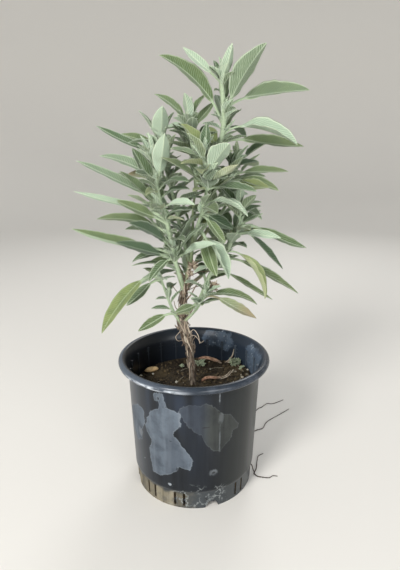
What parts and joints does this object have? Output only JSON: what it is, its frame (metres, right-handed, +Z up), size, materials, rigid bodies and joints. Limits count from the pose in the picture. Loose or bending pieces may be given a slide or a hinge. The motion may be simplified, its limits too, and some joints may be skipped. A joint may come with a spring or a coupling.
{
  "type": "potted sage plant",
  "caption": "Old garden sage with a woody trunk and long grey-green leaves, rooted in loam in a dark tapered nursery pot with a rolled rim.",
  "frame": {"origin": "centre of the pot's foot, on the surface that the pot stands on", "axes": "+Z up along the pot's axis; -Y faces the viewer of the picture; +X to the right"},
  "size_m": [0.2859, 0.2583, 0.4972],
  "materials": {
    "pot": "dark slate plastic, glossy, with pale lime marks",
    "soil": "damp brown loam",
    "bark": "shredded grey-brown bark",
    "sage_leaf": "felted grey-green, paler underneath",
    "root": "dry dark root",
    "dry_leaf": "dry and curled",
    "flake": "weathered",
    "weed": "fresh green"
  },
  "bodies": {
    "root": {"pot": "pot", "soil": "soil", "trunk": "bark", "shoot_crown": "sage_leaf", "shoot_left": "sage_leaf", "shoot_top_left": "sage_leaf", "shoot_centre": "sage_leaf", "shoot_right": "sage_leaf", "shoot_left_high": "sage_leaf", "shoot_right_high": "sage_leaf", "shoot_right_low": "sage_leaf", "shoot_left_low": "sage_leaf", "shoot_back_left": "sage_leaf", "shoot_back_right": "sage_leaf", "shoot_back_high": "sage_leaf", "shoot_back_low": "sage_leaf", "shoot_back_right_low": "sage_leaf", "root_near": "root", "root_middle": "root", "root_far": "root", "dry_leaf_back": "dry_leaf", "dry_leaf_front": "dry_leaf", "flake": "flake", "weed": "weed"}
  },
  "joints": []
}
